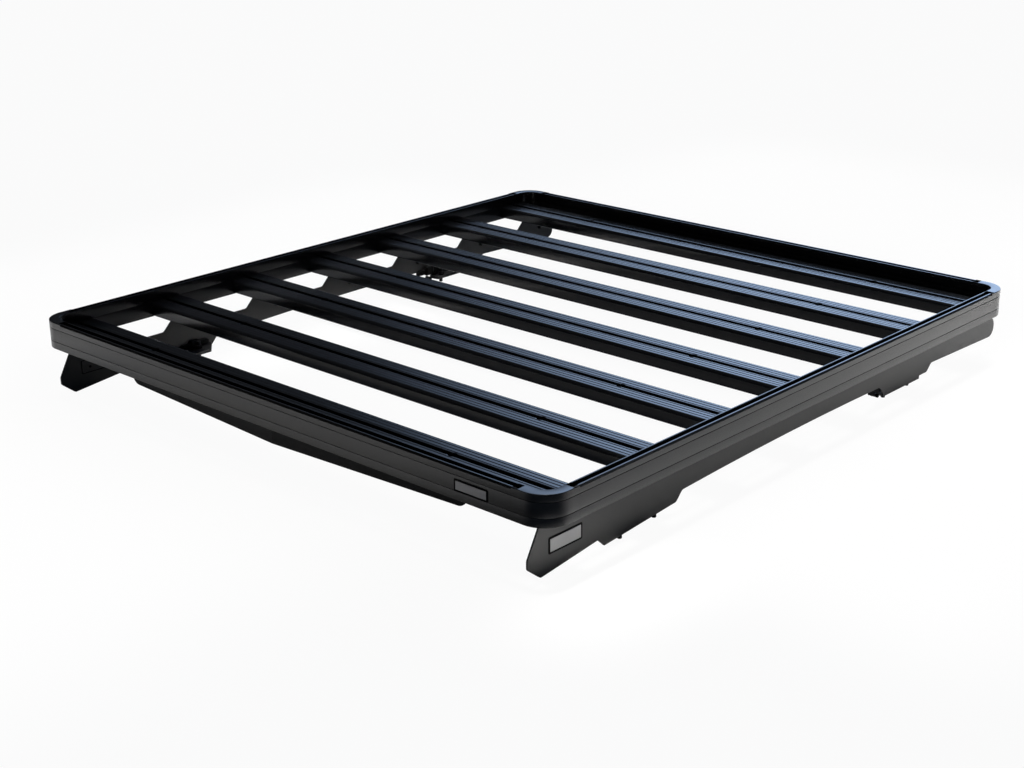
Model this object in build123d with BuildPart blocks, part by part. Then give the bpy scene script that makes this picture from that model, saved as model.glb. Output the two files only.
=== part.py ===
"""Flat platform roof rack: a slatted tray on two sheet foot rails with a wind deflector.

The frame has its origin on the floor under the middle of the rack, +Z up, front at -Y and
+X to the right as seen from the front. All sizes are in millimetres.
"""
import os
from math import radians, tan

from build123d import *

# Tray
TRAY_WIDTH = 1255.0
TRAY_LENGTH = 1358.0
SLAT_COUNT = 7
END_SLAT_INSET = 73.0

# Perimeter rail extrusion
RAIL_WIDTH = 18.0
RAIL_HEIGHT = 51.5
RAIL_WALL = 2.4
RIM_CHAMFER = 2.3
CHANNEL_INSET = 11.4
CHANNEL_MOUTH = 8.8
CHANNEL_WIDTH = 10.4
CHANNEL_LIP = 1.8
CHANNEL_DEPTH = 5.5
GROOVE_WIDTH = 1.0
GROOVE_DEPTH = 0.6
UPPER_GROOVE_DROP = 12.3
LOWER_GROOVE_DROP = 37.0
INNER_GROOVE_DROP = 22.0

# Cast corners
CORNER_RADIUS = 46.0
CORNER_LEG = 52.0
POCKET_CLEARANCE = 0.3

# Slat extrusion
SLAT_WIDTH = 76.0
SLAT_HEIGHT = 25.0
SLAT_WALL = 2.0
SLAT_LIFT = 2.5
SHOULDER_RADIUS = 3.5
FLUTE_COUNT = 3
FLUTE_PITCH = 8.4
FLUTE_WIDTH = 3.0
FLUTE_DEPTH = 0.8
SLOT_LAND = 5.4
SLOT_MOUTH = 8.4
SLOT_WIDTH = 14.5
SLOT_LIP = 2.5
SLOT_DEPTH = 6.0
INSERT_HOLE_DIAMETER = 15.0
INSERT_HOLE_OFFSET = 372.0

# Sheet foot rails
FOOT_INSET = 42.5
FOOT_SHEET = 3.0
TAB_WIDTH = 28.0
TAB_LEAD = 20.0
TAB_DRIFT = 4.0
TAB_FLANK_ANGLE = 45.0
SCALLOP_DROP = 28.0
SCALLOP_FILLET = 8.0
FLANGE_REACH = 25.0
FOOT_FRONT_INSET = 36.0
FOOT_FRONT_CLEARANCE = 1.5
TOE_REACH = 31.0
TOE_SHOULDER_DROP = 58.0
TOE_FACE = 14.0
TOE_TIP_INSET = 33.0
TOE_TIP_DROP = 94.0
TOE_HEEL_DROP = 80.0
TOE_FILLET = 7.0
FRONT_PAD_INSET = 177.0
FRONT_PAD_LENGTH = 177.0
FRONT_PAD_DROP = 94.0
FRONT_PAD_RISE = 12.0
PAD_STEP_RUN = 15.0
PAD_STEP_FILLET = 10.0
FRONT_ARCH_DROP = 66.0
ARCH_DROP = 58.5
REAR_ARCH_DROP = 59.5
REAR_PAD_INSET = 224.0
REAR_PAD_LENGTH = 157.0
REAR_PAD_DROP = 75.0
TAIL_START_DROP = 60.5
TAIL_END_DROP = 67.5
TAIL_OVERHANG = 38.0
TAIL_RADIUS = 18.0

# Mounting brackets and studs
BRACKET_PLATE = 6.0
BRACKET_CORNER = 6.0
FRONT_BRACKET_LENGTH = 166.0
FRONT_BRACKET_REACH = 32.0
FRONT_BRACKET_TAPER = 26.0
FRONT_BRACKET_DROP = 82.5
REAR_BRACKET_LENGTH = 130.0
REAR_BRACKET_REACH = 20.0
REAR_BRACKET_TAPER = 4.0
STUD_DIAMETER = 8.0
STUD_CLEARANCE = 0.4
STUD_NECK = 9.0
STUD_PITCH = 85.0
STUD_REACH = 10.0
STUD_ABOVE_NUT = 8.0
NUT_FLATS = 13.0
NUT_HEIGHT = 7.0
FRONT_STUD_INSET = 271.5
REAR_STUD_INSET = 316.5
FRONT_STUD_DROP = 104.0
REAR_STUD_DROP = 91.0

# Wind deflector
DEFLECTOR_SHEET = 2.0
DEFLECTOR_HALF_WIDTH = 420.0
DEFLECTOR_NOSE_INSET = 28.0
DEFLECTOR_SWEEP = 25.0
DEFLECTOR_DROP = 41.0
DEFLECTOR_CORNER = 18.0
DEFLECTOR_FLANGE = 56.0

# Places worked out from the sizes above
BASE_HEIGHT = FRONT_STUD_DROP
SLAT_BASE = BASE_HEIGHT + SLAT_LIFT
SLAT_TOP = SLAT_BASE + SLAT_HEIGHT
SLAT_LENGTH = TRAY_WIDTH - 2 * RAIL_WIDTH
SLAT_PITCH = (TRAY_LENGTH - 2 * END_SLAT_INSET) / (SLAT_COUNT - 1)
TRAY_MIDDLE = -TAIL_OVERHANG / 2
FRONT_END = TRAY_MIDDLE - TRAY_LENGTH / 2
REAR_END = TRAY_MIDDLE + TRAY_LENGTH / 2
SLAT_STEPS = [index - (SLAT_COUNT - 1) / 2 for index in range(SLAT_COUNT)]
SLAT_PLACES = [TRAY_MIDDLE + step * SLAT_PITCH for step in SLAT_STEPS]
TAB_PLACES = [TRAY_MIDDLE + TAB_LEAD + step * (SLAT_PITCH + TAB_DRIFT) for step in SLAT_STEPS]
FOOT_FACE = TRAY_WIDTH / 2 - FOOT_INSET
FOOT_INNER_FACE = FOOT_FACE - FOOT_SHEET
STUD_LINE = FOOT_INNER_FACE - STUD_REACH
REAR_BRACKET_DROP = REAR_PAD_DROP + BRACKET_PLATE
ROOT_TOLERANCE = FOOT_SHEET / 100
UP = Vector(0, 0, 1)
LOWER_LEFT = (Align.MIN, Align.MIN)
LOWER_MIDDLE = (Align.CENTER, Align.MIN)
UPPER_MIDDLE = (Align.CENTER, Align.MAX)

os.makedirs("parts", exist_ok=True)


def save(part, name):
    """Label a finished piece and write it as its own file."""
    part.label = name
    export_step(part, f"parts/{name}.step")


def corners_at(sketch, *points):
    """Corners of a sketch that stand at the given points."""
    return [sketch.vertices().sort_by_distance(point)[0] for point in points]


def rail_section(plane):
    """Rail extrusion: x runs inward from the outer face and y up from the base."""
    channel_base = RAIL_HEIGHT - CHANNEL_LIP - CHANNEL_DEPTH
    with BuildSketch(plane) as section:
        Rectangle(RAIL_WIDTH, RAIL_HEIGHT, align=LOWER_LEFT)
        chamfer(section.vertices().sort_by_distance((0, RAIL_HEIGHT))[0], length=RIM_CHAMFER)
        with Locations((CHANNEL_INSET, RAIL_HEIGHT)):
            Rectangle(CHANNEL_MOUTH, CHANNEL_LIP, align=UPPER_MIDDLE, mode=Mode.SUBTRACT)
        with Locations((CHANNEL_INSET, channel_base)):
            Rectangle(CHANNEL_WIDTH, CHANNEL_DEPTH, align=LOWER_MIDDLE, mode=Mode.SUBTRACT)
        with Locations((RAIL_WALL, RAIL_WALL)):
            Rectangle(
                RAIL_WIDTH - 2 * RAIL_WALL,
                channel_base - 2 * RAIL_WALL,
                align=LOWER_LEFT,
                mode=Mode.SUBTRACT,
            )
        for drop in (UPPER_GROOVE_DROP, LOWER_GROOVE_DROP):
            with Locations((0, RAIL_HEIGHT - drop)):
                Rectangle(2 * GROOVE_DEPTH, GROOVE_WIDTH, mode=Mode.SUBTRACT)
        with Locations((RAIL_WIDTH, RAIL_HEIGHT - INNER_GROOVE_DROP)):
            Rectangle(2 * GROOVE_DEPTH, GROOVE_WIDTH, mode=Mode.SUBTRACT)
    return section.sketch


def corner_band(plane, width):
    """Plan of a corner as a band of the given width behind its outer face."""
    with BuildSketch(plane) as band:
        with BuildLine():
            outer_arc = ThreePointArc(
                (CORNER_RADIUS, 0),
                Vector(CORNER_RADIUS, CORNER_RADIUS) - Vector(CORNER_RADIUS, 0).rotate(Axis.Z, 45),
                (0, CORNER_RADIUS),
            )
            inner_radius = CORNER_RADIUS - width
            inner_arc = ThreePointArc(
                (width, CORNER_RADIUS),
                Vector(CORNER_RADIUS, CORNER_RADIUS) - Vector(inner_radius, 0).rotate(Axis.Z, 45),
                (CORNER_RADIUS, width),
            )
            Polyline(outer_arc @ 1, (0, CORNER_LEG), (width, CORNER_LEG), inner_arc @ 0)
            Polyline(inner_arc @ 1, (CORNER_LEG, width), (CORNER_LEG, 0), outer_arc @ 0)
        make_face()
    return band.sketch


def slat_section(plane):
    """Slat extrusion: x runs across the slat from its middle and y up from its underside."""
    half_width = SLAT_WIDTH / 2
    chamber_inner = SLOT_WIDTH / 2 + SLAT_WALL
    chamber_outer = half_width - SLAT_WALL
    flute_start = SLOT_MOUTH / 2 + SLOT_LAND
    with BuildSketch(plane) as section:
        Rectangle(SLAT_WIDTH, SLAT_HEIGHT, align=LOWER_MIDDLE)
        fillet(section.vertices().group_by(Axis.Y)[-1], radius=SHOULDER_RADIUS)
        for side in (-1, 1):
            with Locations((side * (chamber_inner + chamber_outer) / 2, SLAT_WALL)):
                Rectangle(
                    chamber_outer - chamber_inner,
                    SLAT_HEIGHT - 2 * SLAT_WALL - FLUTE_DEPTH,
                    align=LOWER_MIDDLE,
                    mode=Mode.SUBTRACT,
                )
            for number in range(FLUTE_COUNT):
                with Locations((side * (flute_start + number * FLUTE_PITCH), SLAT_HEIGHT)):
                    Polygon(
                        (-FLUTE_WIDTH / 2, 0),
                        (0, -FLUTE_DEPTH),
                        (FLUTE_WIDTH / 2, 0),
                        align=None,
                        mode=Mode.SUBTRACT,
                    )
        for face, inward in ((SLAT_HEIGHT, -1), (0, 1)):
            with Locations((0, face + inward * SLOT_LIP / 2)):
                Rectangle(SLOT_MOUTH, SLOT_LIP, mode=Mode.SUBTRACT)
            with Locations((0, face + inward * (SLOT_LIP + SLOT_DEPTH / 2))):
                Rectangle(SLOT_WIDTH, SLOT_DEPTH, mode=Mode.SUBTRACT)
    return section.sketch


def foot_outline(plane):
    """Side view of a foot rail: x runs to the rear and y up from the underside of the tray."""
    foot_front = FRONT_END + FOOT_FRONT_INSET
    foot_rear = REAR_END + TAIL_OVERHANG
    toe_shoulder = (foot_front - TOE_REACH, -TOE_SHOULDER_DROP)
    toe_chin = (foot_front - TOE_REACH, -TOE_SHOULDER_DROP - TOE_FACE)
    toe_tip = (FRONT_END + TOE_TIP_INSET, -TOE_TIP_DROP)
    front_pad_start = FRONT_END + FRONT_PAD_INSET
    front_pad_end = (front_pad_start + FRONT_PAD_LENGTH, FRONT_PAD_RISE - FRONT_PAD_DROP)
    arch_start = (front_pad_end[0] + PAD_STEP_RUN, -FRONT_ARCH_DROP)
    rear_pad_end = (REAR_END - REAR_PAD_INSET, -REAR_PAD_DROP)
    rear_pad_start = (rear_pad_end[0] - REAR_PAD_LENGTH, -REAR_PAD_DROP)
    arch_end = (rear_pad_start[0] - PAD_STEP_RUN, -REAR_ARCH_DROP)
    tail_start = (rear_pad_end[0] + PAD_STEP_RUN, -TAIL_START_DROP)
    tab_height = SCALLOP_DROP + SLAT_LIFT
    flank_run = tab_height / tan(radians(TAB_FLANK_ANGLE))
    with BuildSketch(plane) as outline:
        with BuildLine():
            front = Polyline(
                (foot_rear, -SCALLOP_DROP),
                (TAB_PLACES[0], -SCALLOP_DROP),
                (TAB_PLACES[0], -FOOT_FRONT_CLEARANCE),
                (foot_front, -FOOT_FRONT_CLEARANCE),
                toe_shoulder,
                toe_chin,
                toe_tip,
                (front_pad_start - PAD_STEP_RUN, -TOE_HEEL_DROP),
                (front_pad_start, -FRONT_PAD_DROP),
                front_pad_end,
                arch_start,
            )
            arch = ThreePointArc(arch_start, ((arch_start[0] + arch_end[0]) / 2, -ARCH_DROP), arch_end)
            Polyline(
                arch @ 1,
                rear_pad_start,
                rear_pad_end,
                tail_start,
                (foot_rear, -TAIL_END_DROP),
                front @ 0,
            )
        make_face()
        fillet(corners_at(outline, toe_shoulder, toe_chin, toe_tip), radius=TOE_FILLET)
        step_corners = (front_pad_end, arch_start, arch_end, rear_pad_start, rear_pad_end, tail_start)
        fillet(corners_at(outline, *step_corners), radius=PAD_STEP_FILLET)
        with Locations(*[(place, SLAT_LIFT) for place in TAB_PLACES]):
            Trapezoid(TAB_WIDTH + 2 * flank_run, tab_height, TAB_FLANK_ANGLE, align=UPPER_MIDDLE)
        scallop_corners = outline.vertices().filter_by_position(
            Axis.Y, -SCALLOP_DROP - ROOT_TOLERANCE, -SCALLOP_DROP + ROOT_TOLERANCE
        )
        fillet(scallop_corners.sort_by(Axis.X)[:-1], radius=SCALLOP_FILLET)
        fillet(outline.vertices().group_by(Axis.X)[-1], radius=TAIL_RADIUS)
    return outline.sketch


def bracket_outline(plane, tuck, reach, length, taper):
    """Plan of a bracket plate: x runs inward from the inner face of the sheet and y along it."""
    free_corners = ((reach, taper - length / 2), (reach, length / 2 - taper))
    with BuildSketch(plane) as outline:
        with BuildLine():
            Polyline((-tuck, -length / 2), *free_corners, (-tuck, length / 2), close=True)
        make_face()
        fillet(corners_at(outline, *free_corners), radius=BRACKET_CORNER)
        with Locations((STUD_REACH, -STUD_PITCH / 2), (STUD_REACH, STUD_PITCH / 2)):
            Circle((STUD_NECK + STUD_CLEARANCE) / 2, mode=Mode.SUBTRACT)
    return outline.sketch


# Seven slats, each butted between the side rails
for number, place in enumerate(SLAT_PLACES, start=1):
    with BuildPart() as slat:
        end = Plane((-SLAT_LENGTH / 2, place, SLAT_BASE), x_dir=(0, 1, 0), z_dir=(1, 0, 0))
        extrude(slat_section(end), amount=SLAT_LENGTH)
        with Locations(
            (-INSERT_HOLE_OFFSET, place, SLAT_TOP - SLOT_LIP / 2),
            (INSERT_HOLE_OFFSET, place, SLAT_TOP - SLOT_LIP / 2),
        ):
            Cylinder(INSERT_HOLE_DIAMETER / 2, SLOT_LIP, mode=Mode.SUBTRACT)
    save(slat.part, f"slat_{number}")

# Four rails, each with the cast corner that stands at the start of its run
CORNER_NAMES = {"front": "front_left", "right": "front_right", "rear": "rear_right", "left": "rear_left"}
for turn, side in enumerate(CORNER_NAMES):
    inward = Vector(0, 1, 0).rotate(Axis.Z, 90 * turn)
    run = inward.cross(UP)
    if side in ("front", "rear"):
        run_length = TRAY_WIDTH
        depth = TRAY_LENGTH
    else:
        run_length = TRAY_LENGTH
        depth = TRAY_WIDTH
    tray_base = Vector(0, TRAY_MIDDLE, BASE_HEIGHT)
    outer_corner = tray_base - inward * (depth / 2) - run * (run_length / 2)

    with BuildPart() as rail:
        rail_start = Plane(outer_corner + run * CORNER_LEG, x_dir=inward, z_dir=run)
        extrude(rail_section(rail_start), amount=run_length - 2 * CORNER_LEG)
    save(rail.part, f"{side}_rail")

    end_slat = SLAT_PLACES[0] if outer_corner.Y < TRAY_MIDDLE else SLAT_PLACES[-1]
    turn_centre = outer_corner + (inward + run) * CORNER_RADIUS + UP * RAIL_HEIGHT
    with BuildPart() as corner:
        foot_plane = Plane(outer_corner, x_dir=run, z_dir=UP)
        extrude(corner_band(foot_plane, RAIL_WIDTH), amount=RAIL_HEIGHT)
        rim_edges = corner.edges().group_by(Axis.Z)[-1].sort_by_distance(turn_centre)[-3:]
        chamfer(rim_edges, length=RIM_CHAMFER)
        for drop in (UPPER_GROOVE_DROP, LOWER_GROOVE_DROP):
            groove_plane = foot_plane.offset(RAIL_HEIGHT - drop - GROOVE_WIDTH / 2)
            extrude(corner_band(groove_plane, GROOVE_DEPTH), amount=GROOVE_WIDTH, mode=Mode.SUBTRACT)
        with Locations((0, end_slat, SLAT_BASE)):
            Box(
                SLAT_LENGTH,
                SLAT_WIDTH + 2 * POCKET_CLEARANCE,
                SLAT_HEIGHT + POCKET_CLEARANCE,
                align=(Align.CENTER, Align.CENTER, Align.MIN),
                mode=Mode.SUBTRACT,
            )
    save(corner.part, f"{CORNER_NAMES[side]}_corner")

# Two foot rails with a folded flange under each slat, their bracket plates and their studs
for hand, side in (("left", -1), ("right", 1)):
    with BuildPart() as foot_rail:
        outer_plane = Plane((side * FOOT_FACE, 0, BASE_HEIGHT), x_dir=(0, 1, 0), z_dir=(1, 0, 0))
        extrude(foot_outline(outer_plane), amount=-side * FOOT_SHEET)
        flange_middle = side * (FOOT_FACE - FLANGE_REACH / 2)
        with Locations(*[(flange_middle, place, SLAT_BASE - FOOT_SHEET / 2) for place in TAB_PLACES]):
            Box(FLANGE_REACH, TAB_WIDTH, FOOT_SHEET)
    save(foot_rail.part, f"{hand}_foot_rail")

    # The front plates stand inside the sheet and the rear plates are tucked under its pads
    for end, centre, bracket_drop, stud_drop in (
        ("front", FRONT_END + FRONT_STUD_INSET, FRONT_BRACKET_DROP, FRONT_STUD_DROP),
        ("rear", REAR_END - REAR_STUD_INSET, REAR_BRACKET_DROP, REAR_STUD_DROP),
    ):
        plate_base = BASE_HEIGHT - bracket_drop
        plate_plane = Plane((side * FOOT_INNER_FACE, centre, plate_base), x_dir=(-side, 0, 0), z_dir=UP)
        stud_tip = BASE_HEIGHT - stud_drop
        stud_places = [(side * STUD_LINE, centre + step * STUD_PITCH / 2) for step in (-1, 1)]

        if end == "front":
            plan = bracket_outline(
                plate_plane, 0, FRONT_BRACKET_REACH, FRONT_BRACKET_LENGTH, FRONT_BRACKET_TAPER
            )
        else:
            plan = bracket_outline(
                plate_plane, FOOT_SHEET, REAR_BRACKET_REACH, REAR_BRACKET_LENGTH, REAR_BRACKET_TAPER
            )
        with BuildPart() as bracket:
            extrude(plan, amount=BRACKET_PLATE)
        save(bracket.part, f"{end}_{hand}_mounting_bracket")

        with BuildPart() as studs:
            with BuildSketch(Plane.XY.offset(stud_tip)):
                with Locations(*stud_places):
                    Circle(STUD_DIAMETER / 2)
            extrude(amount=stud_drop - bracket_drop + BRACKET_PLATE + NUT_HEIGHT + STUD_ABOVE_NUT)
            with BuildSketch(Plane.XY.offset(plate_base)):
                with Locations(*stud_places):
                    Circle(STUD_NECK / 2)
            extrude(amount=BRACKET_PLATE)
            with BuildSketch(Plane.XY.offset(plate_base + BRACKET_PLATE)):
                with Locations(*stud_places):
                    RegularPolygon(NUT_FLATS / 2, 6, major_radius=False)
            extrude(amount=NUT_HEIGHT)
        save(studs.part, f"{end}_{hand}_studs")

# Wind deflector: two panels swept back from a crease, with a flange under the first slat
with BuildPart() as deflector:
    nose = FRONT_END + DEFLECTOR_NOSE_INSET
    flange_back = nose + DEFLECTOR_FLANGE
    with BuildSketch(Plane.XY.offset(BASE_HEIGHT - DEFLECTOR_DROP)):
        with BuildLine():
            front_edge = Polyline(
                (-DEFLECTOR_HALF_WIDTH, nose + DEFLECTOR_SWEEP),
                (0, nose),
                (DEFLECTOR_HALF_WIDTH, nose + DEFLECTOR_SWEEP),
            )
            back_edge = Polyline(
                (DEFLECTOR_HALF_WIDTH, nose + DEFLECTOR_SWEEP + DEFLECTOR_SHEET),
                (0, nose + DEFLECTOR_SHEET),
                (-DEFLECTOR_HALF_WIDTH, nose + DEFLECTOR_SWEEP + DEFLECTOR_SHEET),
            )
            Line(front_edge @ 1, back_edge @ 0)
            Line(back_edge @ 1, front_edge @ 0)
        make_face()
    extrude(amount=DEFLECTOR_DROP + SLAT_LIFT)
    low_edges = deflector.edges().group_by(Axis.Z)[0].sort_by(Axis.X)
    fillet([low_edges[0], low_edges[-1]], radius=DEFLECTOR_CORNER)
    with BuildSketch(Plane.XY.offset(SLAT_BASE - DEFLECTOR_SHEET)):
        with BuildLine():
            Polyline(
                (-DEFLECTOR_HALF_WIDTH, nose + DEFLECTOR_SWEEP),
                (0, nose),
                (DEFLECTOR_HALF_WIDTH, nose + DEFLECTOR_SWEEP),
                (DEFLECTOR_HALF_WIDTH, flange_back),
                (-DEFLECTOR_HALF_WIDTH, flange_back),
                close=True,
            )
        make_face()
    extrude(amount=DEFLECTOR_SHEET)
save(deflector.part, "wind_deflector")
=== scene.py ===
"""Looks of the flat platform roof rack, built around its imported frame.

The frame has +Z up, its front at -Y and +X to the right as seen from the front. Sizes are in
metres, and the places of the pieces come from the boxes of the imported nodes.
"""

import logging
from collections.abc import Callable, Sequence
from dataclasses import dataclass
from enum import Enum
from math import cos, pi, radians, sin, sqrt, tan

import bpy
from mathutils import Matrix, Vector

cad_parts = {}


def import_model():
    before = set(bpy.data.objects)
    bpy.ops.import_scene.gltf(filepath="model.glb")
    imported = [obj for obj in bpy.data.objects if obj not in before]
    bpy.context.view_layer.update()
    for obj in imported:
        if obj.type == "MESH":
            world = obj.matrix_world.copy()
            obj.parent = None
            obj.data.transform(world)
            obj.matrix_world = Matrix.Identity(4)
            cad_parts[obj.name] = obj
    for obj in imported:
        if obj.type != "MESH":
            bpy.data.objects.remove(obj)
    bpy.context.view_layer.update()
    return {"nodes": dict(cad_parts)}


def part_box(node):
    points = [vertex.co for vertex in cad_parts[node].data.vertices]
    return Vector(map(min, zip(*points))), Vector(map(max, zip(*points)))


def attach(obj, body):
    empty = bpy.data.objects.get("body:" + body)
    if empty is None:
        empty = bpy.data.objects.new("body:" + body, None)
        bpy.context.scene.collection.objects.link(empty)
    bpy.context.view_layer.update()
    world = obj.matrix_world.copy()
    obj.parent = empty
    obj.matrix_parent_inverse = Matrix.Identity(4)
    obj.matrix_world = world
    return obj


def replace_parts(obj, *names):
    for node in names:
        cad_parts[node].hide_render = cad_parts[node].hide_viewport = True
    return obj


LOG = logging.getLogger("roof_rack")
MM = 0.001
UP = Vector((0, 0, 1))
DOWN = Vector((0, 0, -1))
SHARP_ANGLE = radians(38)

Outline = list[tuple[float, float]]
Corner = tuple[float, float, float]


@dataclass(frozen=True)
class PowderCoat:
    """Black baked coat with a fine grain and a slow drift in its tone."""

    name: str
    colour: tuple[float, float, float]
    roughness: float
    gloss: float
    grain_scale: float = 900.0
    grain_height: float = 0.02
    grain_depth: float = 0.2 * MM
    cloud_scale: float = 7.0
    drift: float = 0.25
    sheen_drift: float = 0.15
    metallic: float = 0.0

    def material(self) -> bpy.types.Material:
        """Make the material of the coat, or take it where it is made already.

        Returns:
            Material of the coat.
        """
        made = bpy.data.materials.get(self.name)
        if made:
            return made
        made = bpy.data.materials.new(self.name)
        made.use_nodes = True
        nodes = made.node_tree.nodes
        links = made.node_tree.links
        shader = nodes["Principled BSDF"]
        shader.inputs["Specular IOR Level"].default_value = self.gloss
        shader.inputs["Metallic"].default_value = self.metallic
        place = nodes.new("ShaderNodeTexCoord").outputs["Object"]

        clouds = self._noise(made, place, self.cloud_scale, 4.0)
        tone = nodes.new("ShaderNodeMapRange")
        tone.inputs["To Min"].default_value = 1 - self.drift
        tone.inputs["To Max"].default_value = 1 + self.drift
        links.new(clouds, tone.inputs["Value"])
        tint = nodes.new("ShaderNodeVectorMath")
        tint.operation = "SCALE"
        tint.inputs[0].default_value = self.colour
        links.new(tone.outputs["Result"], tint.inputs["Scale"])
        links.new(tint.outputs["Vector"], shader.inputs["Base Color"])

        grain = self._noise(made, place, self.grain_scale, 2.0)
        sheen = nodes.new("ShaderNodeMapRange")
        sheen.inputs["To Min"].default_value = self.roughness * (1 - self.sheen_drift)
        sheen.inputs["To Max"].default_value = self.roughness * (1 + self.sheen_drift)
        links.new(grain, sheen.inputs["Value"])
        links.new(sheen.outputs["Result"], shader.inputs["Roughness"])
        bump = nodes.new("ShaderNodeBump")
        bump.inputs["Strength"].default_value = self.grain_height
        bump.inputs["Distance"].default_value = self.grain_depth
        links.new(grain, bump.inputs["Height"])
        links.new(bump.outputs["Normal"], shader.inputs["Normal"])
        return made

    @staticmethod
    def _noise(
        made: bpy.types.Material, place: bpy.types.NodeSocket, scale: float, detail: float
    ) -> bpy.types.NodeSocket:
        """Noise over the surface.

        Args:
            made: Material that takes the noise.
            place: Socket with the place on the surface.
            scale: Cells per metre.
            detail: Octaves of the noise.

        Returns:
            Socket with the value of the noise.
        """
        noise = made.node_tree.nodes.new("ShaderNodeTexNoise")
        noise.inputs["Scale"].default_value = scale
        noise.inputs["Detail"].default_value = detail
        made.node_tree.links.new(place, noise.inputs["Vector"])
        return noise.outputs["Fac"]


class Finish(Enum):
    """Finishes of the rack."""

    SLAT = PowderCoat("slat_coat", (0.002, 0.0023, 0.0028), 0.2, 0.5)
    RAIL = PowderCoat("rail_coat", (0.0022, 0.0024, 0.0028), 0.22, 0.5)
    CASTING = PowderCoat("casting_coat", (0.0022, 0.0024, 0.0028), 0.2, 0.45)
    SHEET = PowderCoat("sheet_coat", (0.003, 0.0032, 0.0036), 0.36, 0.45, grain_height=0.05)
    FAIRING = PowderCoat("fairing_coat", (0.003, 0.0032, 0.0036), 0.45, 0.12, grain_height=0.05)
    BRACKET = PowderCoat("bracket_coat", (0.003, 0.0032, 0.0036), 0.38, 0.42, grain_height=0.05)
    RUBBER = PowderCoat("black_rubber", (0.002, 0.002, 0.002), 0.6, 0.06, grain_height=0.06)
    FASTENER = PowderCoat("black_oxide", (0.003, 0.003, 0.0032), 0.45, 0.12)
    # Darker colour with almost no gloss for slot and channel insides and the rails' outer chamfer:
    # painted shade, so these faces read black.
    RECESS = PowderCoat("recess_black", (0.0015, 0.0015, 0.0016), 0.7, 0.05)
    PLATE = PowderCoat("badge_plate", (0.24, 0.24, 0.245), 0.35, 0.5, metallic=0.6, drift=0.1)
    GASKET = PowderCoat("badge_surround", (0.002, 0.002, 0.002), 0.6, 0.04)
    PIN = PowderCoat("dark_pin", (0.03, 0.03, 0.032), 0.45, 0.4, metallic=0.3, drift=0.1)

    def dress(self, piece: bpy.types.Object, slot: str | None = None) -> None:
        """Give a piece this finish.

        Args:
            piece: Object to dress.
            slot: Material slot of the record that the finish stands for; not used.
        """
        piece.data.materials.clear()
        piece.data.materials.append(self.value.material())


class Side(Enum):
    """Sides of the tray, in the order in which the rails run round it."""

    FRONT = "front"
    RIGHT = "right"
    REAR = "rear"
    LEFT = "left"

    @property
    def inward(self) -> Vector:
        """Direction from this side to the middle of the tray."""
        turn = list(Side).index(self)
        return Matrix.Rotation(turn * pi / 2, 3, "Z") @ Vector((0, 1, 0))

    @property
    def run(self) -> Vector:
        """Direction in which the rail of this side runs."""
        return self.inward.cross(UP)

    @property
    def start_corner(self) -> str:
        """Find the corner where this side starts.

        Returns:
            Name of the corner, with front or rear before left or right.
        """
        before = list(Side)[list(Side).index(self) - 1]
        ends = [side.value for side in (self, before)]
        return "_".join(sorted(ends, key=lambda end: end in ("left", "right")))


class Hand(Enum):
    """Left and right of the rack."""

    LEFT = -1
    RIGHT = 1

    @property
    def label(self) -> str:
        """Name of the hand in lower case."""
        return self.name.lower()


def rounded(corners: Sequence[Corner], steps: int = 4) -> Outline:
    """Outline with its corners turned into arcs.

    Args:
        corners: Corners as x, y and radius, where a radius of 0 keeps the corner.
        steps: Pieces of each arc.

    Returns:
        Points round the outline.
    """
    outline: Outline = []
    for index, (x, y, radius) in enumerate(corners):
        corner = Vector((x, y))
        if radius == 0:
            outline.append((x, y))
            continue
        before = (Vector(corners[index - 1][:2]) - corner).normalized()
        after = (Vector(corners[(index + 1) % len(corners)][:2]) - corner).normalized()
        opening = before.angle(after)
        centre = corner + (before + after).normalized() * radius / sin(opening / 2)
        arm = corner + before * radius / tan(opening / 2) - centre
        sweep = (pi - opening) * (1 if before.cross(after) < 0 else -1)
        for step in range(steps + 1):
            spoke = centre + Matrix.Rotation(sweep * step / steps, 2) @ arm
            outline.append((spoke.x, spoke.y))
    return outline


def make_piece(
    name: str, points: Sequence[Vector], faces: Sequence[Sequence[int]]
) -> bpy.types.Object:
    """Mesh object that rides on the rack.

    Args:
        name: Name of the piece.
        points: Corners of the mesh.
        faces: Faces as lists of corner numbers.

    Returns:
        The object, shaded smooth but for its sharp edges.
    """
    mesh = bpy.data.meshes.new(name)
    mesh.from_pydata([tuple(point) for point in points], [], [tuple(face) for face in faces])
    mesh.validate()
    mesh.shade_smooth()
    mesh.set_sharp_from_angle(angle=SHARP_ANGLE)
    piece = bpy.data.objects.new(name, mesh)
    bpy.context.scene.collection.objects.link(piece)
    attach(piece, "root")
    return piece


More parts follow.
